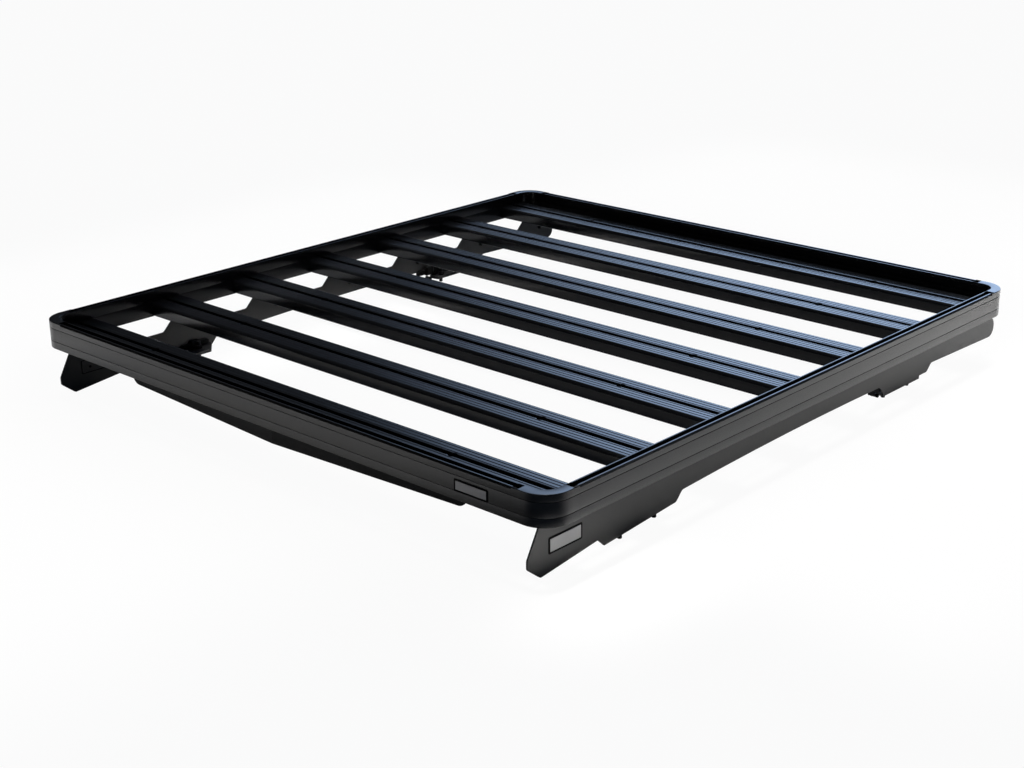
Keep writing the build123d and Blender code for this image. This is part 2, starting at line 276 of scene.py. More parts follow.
@dataclass
class Loft:
    """Skins through closed rings of equal count, gathered into one mesh."""

    name: str
    turn_steps: int = 36

    def __post_init__(self) -> None:
        """Start with an empty mesh."""
        self.points: list[Vector] = []
        self.faces: list[list[int]] = []

    def add(self, rings: Sequence[Sequence[Vector]], outward: bool = True) -> None:
        """Add a skin with a cap at each end.

        Args:
            rings: Rings of points, all of one count.
            outward: Whether rings that turn left about their run face outward.
        """
        first = len(self.points)
        count = len(rings[0])
        skin: list[list[int]] = [list(range(first + count - 1, first - 1, -1))]
        for row in range(len(rings) - 1):
            near = first + row * count
            far = near + count
            for number in range(count):
                following = (number + 1) % count
                skin.append([near + number, near + following, far + following, far + number])
        last = first + (len(rings) - 1) * count
        skin.append(list(range(last, last + count)))
        self.faces.extend(skin if outward else [face[::-1] for face in skin])
        self.points.extend(point for ring in rings for point in ring)

    def turn(self, profile: Sequence[tuple[float, float, bool]], seat: Vector, axis: Vector) -> None:
        """Add a turned piece such as a bolt head.

        Args:
            profile: Radius, height and whether the ring is a hexagon, from the seat to the top.
            seat: Middle of the seat.
            axis: Direction from the seat to the top.
        """
        spin = axis.to_track_quat("Z", "Y")
        rings = []
        for radius, height, is_hexagon in profile:
            ring = []
            for step in range(self.turn_steps):
                angle = step * 2 * pi / self.turn_steps
                reach = radius
                if is_hexagon:
                    reach /= cos((angle + pi / 6) % (pi / 3) - pi / 6)
                ring.append(seat + spin @ Vector((reach * cos(angle), reach * sin(angle), height)))
            rings.append(ring)
        self.add(rings)

    def finish(
        self, finish: Finish, slot: str | None = None, shade_mask: Callable[[Vector], bool] | None = None
    ) -> bpy.types.Object:
        """Make the piece.

        Args:
            finish: Finish of the piece.
            slot: Material slot of the record.
            shade_mask: Test of a face's middle for the insides of slots, which get a darker matt coat
                as painted shade.

        Returns:
            The finished object.
        """
        piece = make_piece(self.name, self.points, self.faces)
        finish.dress(piece, slot)
        if shade_mask:
            # Faces that the test finds take the darker matt coat as painted shade.
            piece.data.materials.append(Finish.RECESS.value.material())
            for face in piece.data.polygons:
                face.material_index = int(shade_mask(face.center))
        LOG.info("%s: %d faces", self.name, len(self.faces))
        return piece


@dataclass
class Perimeter:
    """Rails and cast corners round the tray."""

    width: float = 18 * MM
    rim: float = 3.0 * MM
    cast_rim: float = 0.7 * MM
    channel_inset: float = 10.6 * MM
    channel_mouth: float = 10.2 * MM
    channel_width: float = 11 * MM
    channel_lip: float = 1.8 * MM
    channel_depth: float = 5.5 * MM
    channel_edge: float = 0.18 * MM
    channel_clearance: float = 0.1 * MM
    channel_end: float = 57.5 * MM
    notch_end: float = 69 * MM
    notch_mouth: float = 13.4 * MM
    groove: float = 1.0 * MM
    groove_depth: float = 0.7 * MM
    groove_edge: float = 0.15 * MM
    groove_drops: tuple[float, float] = (12.3 * MM, 37 * MM)
    inner_groove_drop: float = 22 * MM
    edge: float = 0.3 * MM
    corner_radius: float = 46 * MM
    seam: float = 0.08 * MM
    # Margin round the channel and chamfer faces that take the painted-shade coat.
    recess_margin: float = 0.3 * MM
    lip_skin: float = 0.4 * MM
    arc_steps: int = 28
    badge_place: tuple[float, float] = (480.5 * MM, 27.5 * MM)
    badge_size: tuple[float, float] = (68 * MM, 20.5 * MM)

    def __post_init__(self) -> None:
        """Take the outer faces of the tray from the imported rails."""
        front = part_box("front_rail")
        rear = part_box("rear_rail")
        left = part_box("left_rail")
        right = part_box("right_rail")
        self.base = front[0][2]
        self.height = front[1][2] - self.base
        self.half_width = (right[1][0] - left[0][0]) / 2
        self.half_length = (rear[1][1] - front[0][1]) / 2
        self.leg = front[0][0] - left[0][0]
        self.middle = Vector((0, (rear[1][1] + front[0][1]) / 2, self.base))

    def section(self, rim: float, mouth: float) -> Outline:
        """Outline of the extrusion, x inward from the outer face and y up from the base.

        Args:
            rim: Chamfer of the outer top edge.
            mouth: Width of the mouth of the tie-down channel, or 0 for a plain top.

        Returns:
            Points round the outline.
        """
        edge = self.edge
        top = self.height
        corners: list[Corner] = [(0, 0, edge), (self.width, 0, edge)]
        corners += self._groove(self.width, top - self.inner_groove_drop, -1)
        corners.append((self.width, top, edge))
        if mouth > 0:
            corners += self._channel(top, mouth)
        corners += [(rim, top, edge), (0, top - rim, edge)]
        for drop in self.groove_drops:
            corners += self._groove(0, top - drop, 1)[::-1]
        return rounded(corners)

    def _groove(self, face: float, middle: float, inward: int) -> list[Corner]:
        """Corners of a thin groove from its lower to its upper edge.

        Args:
            face: Place of the face that has the groove.
            middle: Height of the groove.
            inward: Direction into the face.

        Returns:
            Corners of the groove.
        """
        floor = face + inward * self.groove_depth
        low = middle - self.groove / 2
        high = middle + self.groove / 2
        edge = self.groove_edge
        return [(face, low, edge), (floor, low, 0), (floor, high, 0), (face, high, edge)]

    def _channel(self, top: float, mouth: float) -> list[Corner]:
        """Corners of the tie-down channel from its inner to its outer lip.

        Args:
            top: Height of the top.
            mouth: Width of the mouth.

        Returns:
            Corners of the channel.
        """
        slit = mouth / 2
        half = max(self.channel_width / 2, slit + self.channel_clearance)
        roof = top - self.channel_lip
        floor = roof - self.channel_depth
        middle = self.channel_inset
        return [
            (middle + slit, top, self.channel_edge),
            (middle + slit, roof, 0),
            (middle + half, roof, 0),
            (middle + half, floor, 0),
            (middle - half, floor, 0),
            (middle - half, roof, 0),
            (middle - slit, roof, 0),
            (middle - slit, top, self.channel_edge),
        ]

    def _start(self, side: Side) -> tuple[Vector, float]:
        """Find where a side starts and how long it is.

        Args:
            side: Side of the tray.

        Returns:
            Outer corner where the side starts, and the length of the side.
        """
        across = self.half_length if side in (Side.FRONT, Side.REAR) else self.half_width
        along = self.half_width + self.half_length - across
        return self.middle - side.inward * across - side.run * along, 2 * along

    def build_rail(self, side: Side) -> None:
        """Build the rail of a side, with a drop-in notch at each end of its channel.

        Args:
            side: Side of the tray.
        """
        start, length = self._start(side)
        plain = self.section(self.cast_rim, 0)
        notch = self.section(self.cast_rim, self.notch_mouth)
        open_top = self.section(self.rim, self.channel_mouth)
        middle = length / 2
        loft = Loft(f"{side.value}_rail_body")
        for outline, low, high in (
            (plain, self.leg, self.channel_end),
            (notch, self.channel_end, self.notch_end - self.seam),
            (open_top, self.notch_end + self.seam, middle),
        ):
            for near, far in ((low, high), (length - high, length - low)):
                rings = []
                for distance in (near, far):
                    origin = start + side.run * distance
                    rings.append([origin + side.inward * x + UP * z for x, z in outline])
                loft.add(rings)

        def in_channel(place: Vector) -> bool:
            """Test for the tie-down channel and the outer chamfer, which get a darker matt coat as
            painted shade.

            Args:
                place: Middle of a face of the rail.

            Returns:
                Whether the face lies there.
            """
            inward = (place - start).dot(side.inward)
            depth = self.base + self.height - place.z
            half = self.notch_mouth / 2 + self.recess_margin
            floor = self.channel_lip + self.channel_depth + self.recess_margin
            on_chamfer = max(inward, depth) < self.rim - self.recess_margin
            in_width = abs(inward - self.channel_inset) < half
            return on_chamfer or (in_width and self.lip_skin < depth < floor)

        body = loft.finish(Finish.RAIL, "coated_rail", in_channel)
        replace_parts(body, f"{side.value}_rail")

    def build_corner(self, side: Side) -> None:
        """Build the cast corner where a side starts.

        Args:
            side: Side of the tray.
        """
        start, _ = self._start(side)
        outline = self.section(self.cast_rim, 0)
        radius = self.corner_radius
        centre = start + (side.inward + side.run) * radius
        stations = [(centre + side.inward * (self.leg - radius), -side.run)]
        for step in range(self.arc_steps + 1):
            angle = step * pi / 2 / self.arc_steps
            stations.append((centre, -side.run * cos(angle) - side.inward * sin(angle)))
        stations.append((centre + side.run * (self.leg - radius), -side.inward))
        rings = [
            [hub + outward * (radius - x) + UP * z for x, z in outline] for hub, outward in stations
        ]
        loft = Loft(f"{side.start_corner}_corner_body")
        loft.add(rings)
        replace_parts(loft.finish(Finish.CASTING, "coated_casting"), f"{side.start_corner}_corner")

    def build_badge(self) -> None:
        """Build the bare badge on the front rail."""
        along, drop = self.badge_place
        middle = self.middle + Vector((along, -self.half_length, self.height - drop))
        Badge("front_badge", middle, Side.FRONT.run, -Side.FRONT.inward, *self.badge_size).build()


@dataclass
class Slats:
    """Slotted and fluted slats of the deck."""

    count: int = 7
    shoulder: float = 6 * MM
    edge: float = 2 * MM
    flute_count: int = 3
    flute_pitch: float = 8.4 * MM
    flute_width: float = 3 * MM
    flute_depth: float = 0.8 * MM
    flute_shares: tuple[float, ...] = (0.5, 0.36, 0.18, 0.0, -0.18, -0.36, -0.5)
    land: float = 4.6 * MM
    slot_mouth: float = 10 * MM
    slot_width: float = 14.5 * MM
    slot_lip: float = 2.5 * MM
    slot_depth: float = 6 * MM
    slot_clearance: float = 0.1 * MM
    lower_edge: float = 0.4 * MM
    upper_edge: tuple[tuple[float, float], ...] = (
        (0.3 * MM, 0.0),
        (0.08 * MM, 0.1 * MM),
        (0.0, 0.35 * MM),
    )
    hole_radius: float = 7.5 * MM
    hole_offset: float = 372 * MM
    hole_steps: int = 20
    hole_margin: float = 0.8 * MM
    recess_margin: float = 0.3 * MM
    # Margin round the slot faces that take the painted-shade coat.
    lip_skin: float = 0.5 * MM

    def section(self, width: float, height: float, upper_mouth: float) -> Outline:
        """Outline of a slat, x across from its middle and y up from its underside.

        Args:
            width: Width of the slat.
            height: Height of the slat.
            upper_mouth: Half the width of the upper slot's mouth.

        Returns:
            Points round the outline.
        """
        half = width / 2
        lower_mouth = self.slot_mouth / 2
        cavity = self.slot_width / 2
        upper_cavity = max(cavity, upper_mouth + self.slot_clearance)
        side = rounded(
            [
                (0, self.slot_lip + self.slot_depth, 0),
                (cavity, self.slot_lip + self.slot_depth, 0),
                (cavity, self.slot_lip, 0),
                (lower_mouth, self.slot_lip, 0),
                (lower_mouth, 0, self.lower_edge),
                (half, 0, self.edge),
                (half, height, self.shoulder),
                (0, height, 0),
            ],
            steps=6,
        )[:-1]
        side += self._flutes(height)
        side += [(upper_mouth + out, height - drop) for out, drop in self.upper_edge]
        side += [
            (upper_mouth, height - self.slot_lip),
            (upper_cavity, height - self.slot_lip),
            (upper_cavity, height - self.slot_lip - self.slot_depth),
            (0, height - self.slot_lip - self.slot_depth),
        ]
        return side + [(-x, y) for x, y in side[-2:0:-1]]

    def _flutes(self, height: float) -> Outline:
        """Draw the flutes of one half of a slat, from the shoulder to the slot.

        Args:
            height: Height of the slat.

        Returns:
            Points over the flutes.
        """
        start = self.slot_mouth / 2 + self.land
        points: Outline = []
        for number in reversed(range(self.flute_count)):
            middle = start + number * self.flute_pitch
            for share in self.flute_shares:
                drop = self.flute_depth * cos(share * pi)
                points.append((middle + share * self.flute_width, height - drop))
        return points

    def stations(self, low: float, high: float) -> list[tuple[float, float]]:
        """Places along a slat with half the width of the upper mouth there.

        Args:
            low: Left end of the slat.
            high: Right end of the slat.

        Returns:
            Places and half widths from left to right.
        """
        plain = self.slot_mouth / 2
        reach = sqrt(self.hole_radius**2 - plain**2)
        places = [(low, plain)]
        for hole in (-self.hole_offset, self.hole_offset):
            places.append((hole - reach - self.hole_margin, plain))
            for step in range(self.hole_steps + 1):
                offset = -reach * cos(pi * step / self.hole_steps)
                places.append((hole + offset, max(plain, sqrt(self.hole_radius**2 - offset**2))))
            places.append((hole + reach + self.hole_margin, plain))
        return places + [(high, plain)]

    def build(self, number: int) -> None:
        """Build one slat.

        Args:
            number: Number of the slat from the front.
        """
        low, high = (Vector(corner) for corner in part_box(f"slat_{number}"))
        size = high - low
        middle = (low.y + high.y) / 2
        rings = []
        for place, mouth in self.stations(low.x, high.x):
            outline = self.section(size.y, size.z, mouth)
            rings.append([Vector((place, middle + x, low.z + z)) for x, z in outline])
        loft = Loft(f"slat_{number}_body")
        loft.add(rings)

        def in_slot(place: Vector) -> bool:
            """Test for the insides of the slots, which get a darker matt coat as painted shade.

            Args:
                place: Middle of a face of the slat.

            Returns:
                Whether the face lies in a slot.
            """
            reach = max(self.slot_width / 2, self.hole_radius) + self.recess_margin
            in_width = abs(place.y - middle) < reach
            return in_width and low.z + self.lip_skin < place.z < high.z - self.lip_skin

        body = loft.finish(Finish.SLAT, "coated_slat", in_slot)
        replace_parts(body, f"slat_{number}")


@dataclass
class Badge:
    """Bare plate with rounded corners in a dark surround."""

    name: str
    middle: Vector
    across: Vector
    outward: Vector
    width: float
    height: float
    radius: float = 3 * MM
    surround: float = 3.4 * MM
    thickness: float = 0.9 * MM
    bevel: float = 0.25 * MM
    root: float = 0.5 * MM
    least_radius: float = 1 * MM
    surround_share: float = 0.6
    corner_steps: int = 8
    face: Finish = Finish.PLATE

    def build(self) -> None:
        """Build the surround and the plate that stands in it."""
        self._slab("surround", 0.0, self.thickness * self.surround_share, Finish.GASKET)
        self._slab("plate", self.surround, self.thickness, self.face)

    def _slab(self, part: str, inset: float, thickness: float, finish: Finish) -> None:
        """Build one layer of the badge.

        Args:
            part: Name of the layer.
            inset: Distance of its rim from the rim of the badge.
            thickness: Height above the face that carries the badge.
            finish: Finish of the layer.
        """
        rise = self.outward.cross(self.across)
        rings = []
        bevel = self.bevel
        for shrink, height in ((0, -self.root), (0, thickness - bevel), (bevel, thickness)):
            x = self.width / 2 - inset - shrink
            y = self.height / 2 - inset - shrink
            radius = max(self.radius - inset, self.least_radius) - shrink
            corners = [(-x, -y, radius), (x, -y, radius), (x, y, radius), (-x, y, radius)]
            outline = rounded(corners, self.corner_steps)
            layer = self.middle + self.outward * height
            rings.append([layer + self.across * u + rise * v for u, v in outline])
        loft = Loft(f"{self.name}_{part}")
        loft.add(rings)
        loft.finish(finish)


@dataclass
class Fasteners:
    """Bolt heads, washers, nuts and studs."""

    head_radius: float = 4.6 * MM
    head_height: float = 3 * MM
    head_wall: float = 0.25
    dome_sweep: float = 0.97
    socket: float = 1.6 * MM
    socket_flare: float = 1.15
    socket_rim: float = 0.95
    socket_floor: float = 0.4
    washer_radius: float = 6.5 * MM
    washer: float = 1.4 * MM
    washer_edge: float = 0.2 * MM
    nut_reach: float = 6.5 * MM
    nut_height: float = 7 * MM
    nut_edge: float = 0.5 * MM
    nut_chamfer: float = 0.97
    nut_bore: float = 1.12
    stud_radius: float = 4 * MM
    thread_pitch: float = 1.25 * MM
    thread_depth: float = 0.55 * MM
    thread_crest: tuple[float, float] = (0.45, 0.6)

    def button_head(self, loft: Loft, seat: Vector, axis: Vector) -> None:
        """Add a washer and a domed head with a hexagon socket.

        Args:
            loft: Mesh that takes the bolt.
            seat: Middle of the seat.
            axis: Direction from the seat to the top.
        """
        self._washer(loft, seat, axis)
        height = self.head_height
        radius = self.head_radius
        socket = self.socket
        rim = [(radius, 0.0, False)]
        wall = self.head_wall
        for angle in self._quarter(self.dome_sweep):
            rim.append((radius * cos(angle), height * (wall + (1 - wall) * sin(angle)), False))
        hollow = [(socket * self.socket_flare, height, True)]
        hollow += [(socket, height * share, True) for share in (self.socket_rim, self.socket_floor)]
        loft.turn(rim + hollow, seat + axis * self.washer, axis)

    def hex_head(self, loft: Loft, seat: Vector, axis: Vector) -> None:
        """Add a washer and a chamfered hexagon nut."""
        self._washer(loft, seat, axis)
        loft.turn(self._nut(), seat + axis * self.washer, axis)

    def stud(self, loft: Loft, tip: Vector, plate: float, nut_seat: float, top: float) -> None:
        """Add a threaded stud that stands through a plate with a nut on it.

        Args:
            loft: Mesh that takes the stud.
            tip: Lower end of the stud.
            plate: Height of the underside of the plate over the tip.
            nut_seat: Height of the nut's seat over the tip.
            top: Height of the upper end over the tip.
        """
        loft.turn(self._thread(0.0, plate), tip, UP)
        loft.turn(self._thread(nut_seat + self.nut_height, top), tip, UP)
        loft.turn(self._nut(), tip + UP * nut_seat, UP)

    def _washer(self, loft: Loft, seat: Vector, axis: Vector) -> None:
        """Add a flat washer.

        Args:
            loft: Mesh that takes the washer.
            seat: Middle of the seat.
            axis: Direction from the seat to the top.
        """
        edge = self.washer_edge
        radius = self.washer_radius
        top = self.washer
        profile = [(radius, 0, False), (radius, top - edge, False), (radius - edge, top, False)]
        loft.turn(profile, seat, axis)

    def _nut(self) -> list[tuple[float, float, bool]]:
        """Draw a nut from its seat to its top.

        Returns:
            Radius, height and whether the ring is a hexagon, for each ring.
        """
        reach = self.nut_reach
        height = self.nut_height
        edge = self.nut_edge
        return [
            (reach * self.nut_chamfer, 0, False),
            (reach, edge, True),
            (reach, height - edge, True),
            (reach * self.nut_chamfer, height, False),
            (self.stud_radius * self.nut_bore, height, False),
        ]

    def _thread(self, low: float, high: float) -> list[tuple[float, float, bool]]:
        """Draw a threaded length.

        Args:
            low: Height of the lower end over the tip.
            high: Height of the upper end over the tip.

        Returns:
            Radius, height and whether the ring is a hexagon, for each ring.
        """
        turns = max(1, round((high - low) / self.thread_pitch))
        pitch = (high - low) / turns
        root = self.stud_radius - self.thread_depth
        rings = []
        for number in range(turns):
            start = low + number * pitch
            rings.append((root, start, False))
            rings += [(self.stud_radius, start + pitch * share, False) for share in self.thread_crest]
        return [*rings, (root, high, False)]

    @staticmethod
    def _quarter(end: float, steps: int = 7) -> list[float]:
        """Angles over a share of a quarter turn."""
        return [end * pi / 2 * step / steps for step in range(steps + 1)]


@dataclass
class FootRail:
    """Sheet foot rail of one hand with its brackets, studs, bolts, clamps, pin and badge."""

    hand: Hand
    fasteners: Fasteners
    sheet: float = 3 * MM
    flange_middle: float = 14 * MM
    tab_lead: float = 20 * MM
    tab_drift: float = 4 * MM
    bolt_lag: float = 32 * MM
    bolt_drop: float = 36 * MM
    badge_width: float = 75 * MM
    badge_height: float = 27 * MM
    badge_place: tuple[float, float] = (-591.5 * MM, -50 * MM)
    seat_surround: float = 2 * MM
    seat_height: float = 0.6 * MM
    rivet_place: tuple[float, float] = (18.5 * MM, 2 * MM)
    rivet_radius: float = 2.5 * MM
    rivet_height: float = 1.6 * MM
    rivet_wall: float = 0.75
    rivet_crown: float = 0.72
    bracket_plate: float = 6 * MM
    stud_reach: float = 10 * MM
    stud_pitch: float = 85 * MM
    tip_rise: float = 6 * MM
    clamp_rings: tuple[tuple[float, float, float], ...] = (
        (-36 * MM, 3 * MM, 0.35),
        (-30 * MM, 6 * MM, 0.6),
        (-13 * MM, 6.5 * MM, 0.55),
        (-9 * MM, 10 * MM, 1.0),
        (9 * MM, 10 * MM, 1.0),
        (13 * MM, 6.5 * MM, 0.7),
        (29 * MM, 6 * MM, 0.75),
        (36 * MM, 3 * MM, 0.4),
    )
    clamp_heights: tuple[float, float] = (16 * MM, 20 * MM)
    clamp_places: tuple[tuple[float, float], ...] = ((-369 * MM, -76.5 * MM), (288 * MM, -70 * MM))
    clamp_lift: float = 0.3
    clamp_round: float = 0.4
    clamp_sink: float = 0.4 * MM
    pin_place: tuple[float, float] = (284 * MM, -76 * MM)
    pin_radius: float = 3.4 * MM
    pin_length: float = 14.5 * MM
    pin_cap: float = 3.2 * MM
    pin_overlap: float = 0.2 * MM
    pin_root: float = 0.5 * MM
    pin_brim: float = 0.6 * MM
    pin_flare: float = 1.08
    pin_tip: float = 0.8

    def __post_init__(self) -> None:
        """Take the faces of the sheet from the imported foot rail."""
        low, high = (Vector(corner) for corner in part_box(f"{self.hand.label}_foot_rail"))
        self.outward = Vector((self.hand.value, 0, 0))
        self.outer_face = high.x if self.hand is Hand.RIGHT else low.x
        self.inner_face = self.outer_face - self.hand.value * self.sheet
        self.seat = high.z

    def dress(self, nodes: dict[str, bpy.types.Object]) -> None:
        """Dress the sheet and the brackets.

        Args:
            nodes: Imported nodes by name.
        """
        label = self.hand.label
        Finish.SHEET.dress(nodes[f"{label}_foot_rail"], "coated_sheet")
        for end in ("front", "rear"):
            Finish.BRACKET.dress(nodes[f"{end}_{label}_mounting_bracket"], "bracket_black")

    def build_bolts(self, places: Sequence[float]) -> None:
        """Build the bolts behind the tabs and the nuts under the flanges.

        Args:
            places: Middles of the slats along the rack.
        """
        loft = Loft(f"{self.hand.label}_slat_bolts")
        flange = self.outer_face - self.hand.value * self.flange_middle
        middle = (len(places) - 1) / 2
        for number, place in enumerate(places):
            tab = place + self.tab_lead + (number - middle) * self.tab_drift
            if number > 0:
                head = Vector((self.inner_face, tab + self.bolt_lag, self.seat - self.bolt_drop))
                self.fasteners.button_head(loft, head, -self.outward)
            under = Vector((flange, tab, self.seat - self.sheet))
            self.fasteners.hex_head(loft, under, -UP)
        loft.finish(Finish.FASTENER)

    def build_pin(self, tray_middle: Vector) -> None:
        """Build the short pin in front of the rear pad.

        Args:
            tray_middle: Middle of the tray's base.
        """
        place, drop = self.pin_place
        foot = Vector((self.inner_face, tray_middle.y + place, tray_middle.z + drop))
        radius = self.pin_radius
        length = self.pin_length
        shank = Loft(f"{self.hand.label}_rear_pin")
        cap = self.pin_cap
        within = cap - self.pin_overlap
        shank.turn([(radius, within, False), (radius, length - within, False)], foot, -self.outward)
        shank.finish(Finish.PIN)
        ends = Loft(f"{self.hand.label}_rear_pin_ends")
        wide = radius * self.pin_flare
        tip = radius * self.pin_tip
        brim = length - self.pin_brim
        ends.turn([(wide, -self.pin_root, False), (wide, cap, False)], foot, -self.outward)
        outer_cap = [(wide, length - cap, False), (wide, brim, False), (tip, length, False)]
        ends.turn(outer_cap, foot, -self.outward)
        ends.finish(Finish.RUBBER)

    def build_studs(self, end: str) -> None:
        """Build the studs of one bracket.

        Args:
            end: End of the rack, front or rear.
        """
        node = f"{end}_{self.hand.label}_studs"
        bracket = f"{end}_{self.hand.label}_mounting_bracket"
        low, high = (Vector(corner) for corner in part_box(node))
        bracket_low, _ = (Vector(corner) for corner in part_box(bracket))
        line = self.inner_face - self.hand.value * self.stud_reach
        middle = (low.y + high.y) / 2
        loft = Loft(f"{node}_threaded")
        plate = bracket_low.z - low.z
        for step in (-0.5, 0.5):
            rise = self.tip_rise if end == "front" and step > 0 else 0.0
            tip = Vector((line, middle + step * self.stud_pitch, low.z + rise))
            seat = plate - rise
            self.fasteners.stud(loft, tip, seat, seat + self.bracket_plate, high.z - low.z - rise)
        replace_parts(loft.finish(Finish.FASTENER, "stud_black"), node)

    def build_clamps(self, tray_middle: Vector) -> None:
        """Build the black clamps beside the studs, on the inner face of the sheet.

        Args:
            tray_middle: Middle of the tray's base.
        """
        ends = ("front", "rear")
        for end, (place, drop), height in zip(ends, self.clamp_places, self.clamp_heights):
            foot = Vector((self.inner_face, tray_middle.y + place, tray_middle.z + drop))
            foot += self.outward * self.clamp_sink
            rings = []
            for along, depth, share in self.clamp_rings:
                low = height * (1 - share) * self.clamp_lift
                high = low + height * share
                radius = min(depth, high - low) * self.clamp_round
                corners = [(0, low, 0), (depth, low, radius), (depth, high, radius), (0, high, 0)]
                station = foot + Vector((0, along, 0))
                rings.append([station - self.outward * x + UP * z for x, z in rounded(corners)])
            loft = Loft(f"{end}_{self.hand.label}_clamp")
            loft.add(rings, self.hand is Hand.RIGHT)
            loft.finish(Finish.RUBBER)

    def build_badge(self, tray_middle: Vector) -> None:
        """Build the bare badge near the toe and the outline of its seat on the inner face.

        Args:
            tray_middle: Middle of the tray's base.
        """
        place, drop = self.badge_place
        label = self.hand.label
        middle = Vector((self.outer_face, tray_middle.y + place, tray_middle.z + drop))
        across = Vector((0, self.hand.value, 0))
        size = (self.badge_width, self.badge_height)
        Badge(f"{label}_foot_badge", middle, across, self.outward, *size).build()
        inner = middle - self.outward * self.sheet
        Badge(
            f"{label}_foot_badge_seat",
            inner,
            -across,
            -self.outward,
            *size,
            surround=self.seat_surround,
            thickness=self.seat_height,
            face=Finish.SHEET,
        ).build()
        lead, drop = self.rivet_place
        radius = self.rivet_radius
        height = self.rivet_height
        profile = [
            (radius, 0, False),
            (radius, height * self.rivet_wall, False),
            (radius * self.rivet_crown, height, False),
        ]
        rivet = Loft(f"{label}_foot_badge_rivet")
        rivet.turn(profile, inner - Vector((0, lead, drop)), -self.outward)
        rivet.finish(Finish.GASKET)


@dataclass
class Deflector:
    """Folded wind deflector under the front edge."""

    fasteners: Fasteners
    sheet: float = 2 * MM
    bolt_places: tuple[float, ...] = (-360 * MM, -120 * MM, 120 * MM, 360 * MM)
    bolt_inset: float = 11 * MM

    def dress(self, nodes: dict[str, bpy.types.Object]) -> None:
        """Dress the sheet and set bolts under its flange.

        Args:
            nodes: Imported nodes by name.
        """
        Finish.FAIRING.dress(nodes["wind_deflector"], "coated_sheet")
        _, high = (Vector(corner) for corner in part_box("wind_deflector"))
        loft = Loft("deflector_bolts")
        for place in self.bolt_places:
            seat = Vector((place, high.y - self.bolt_inset, high.z - self.sheet))
            self.fasteners.button_head(loft, seat, -UP)
        loft.finish(Finish.FASTENER)


@dataclass(frozen=True)
class Softbox:
    """Rectangular lamp that hangs over a place and shines straight down."""

    name: str
    place: tuple[float, float, float]
    size: tuple[float, float]
    power: float
    spread: float = pi
    colour: tuple[float, float, float] = (1.0, 0.98, 0.95)

    def hang(self) -> None:
        """Put the lamp in the scene."""
        lamp = bpy.data.lights.new(self.name, "AREA")
        lamp.shape = "RECTANGLE"
        lamp.size, lamp.size_y = self.size
        lamp.energy = self.power
        lamp.spread = self.spread
        lamp.color = self.colour
        holder = bpy.data.objects.new(self.name, lamp)
        holder.location = self.place
        holder.rotation_euler = DOWN.to_track_quat("-Z", "Y").to_euler()
        bpy.context.scene.collection.objects.link(holder)


